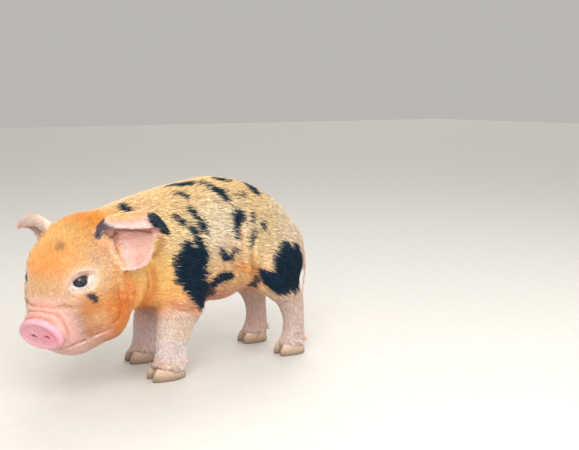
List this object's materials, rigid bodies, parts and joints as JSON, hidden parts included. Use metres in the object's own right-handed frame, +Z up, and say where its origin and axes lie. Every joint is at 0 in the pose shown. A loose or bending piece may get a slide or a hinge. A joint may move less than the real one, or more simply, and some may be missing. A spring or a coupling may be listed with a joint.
{
  "type": "standing kunekune piglet",
  "caption": "Life-size still model of a kunekune piglet standing with its head lowered and turned, in a spotted ginger and cream coat.",
  "frame": {"origin": "middle of the outline seen from above, on the level of the soles", "axes": "+Z up, the body's length along Y with the head towards -Y, the pig's left side towards +X"},
  "size_m": [0.142, 0.3128, 0.1807],
  "materials": {
    "ginger coat": "short ginger hair over skin",
    "cream coat": "short cream hair over skin",
    "black hair on skin": "short black hair over skin",
    "bare pink skin": "nearly bare skin",
    "pale horn": "worn horn",
    "dark wet eye": "wet and glossy"
  },
  "bodies": {
    "root": {"head": "ginger coat", "neck": "ginger coat", "shoulders": "cream coat", "barrel": "cream coat", "hindquarters": "cream coat", "snout_disc": "bare pink skin", "tail": "bare pink skin", "ear_left": "bare pink skin", "ear_right": "bare pink skin", "eye_left": "dark wet eye", "eye_right": "dark wet eye", "foreleg_left_upper": "ginger coat", "foreleg_right_upper": "ginger coat", "hindleg_left_upper": "black hair on skin", "hindleg_right_upper": "cream coat", "foreleg_left_lower": "bare pink skin", "hoof_fore_left_inner": "pale horn", "dewclaw_fore_left_inner": "pale horn", "hoof_fore_left_outer": "pale horn", "dewclaw_fore_left_outer": "pale horn", "foreleg_right_lower": "bare pink skin", "hoof_fore_right_inner": "pale horn", "dewclaw_fore_right_inner": "pale horn", "hoof_fore_right_outer": "pale horn", "dewclaw_fore_right_outer": "pale horn", "hindleg_left_lower": "bare pink skin", "hoof_hind_left_inner": "pale horn", "dewclaw_hind_left_inner": "pale horn", "hoof_hind_left_outer": "pale horn", "dewclaw_hind_left_outer": "pale horn", "hindleg_right_lower": "bare pink skin", "hoof_hind_right_inner": "pale horn", "dewclaw_hind_right_inner": "pale horn", "hoof_hind_right_outer": "pale horn", "dewclaw_hind_right_outer": "pale horn"}
  },
  "joints": []
}
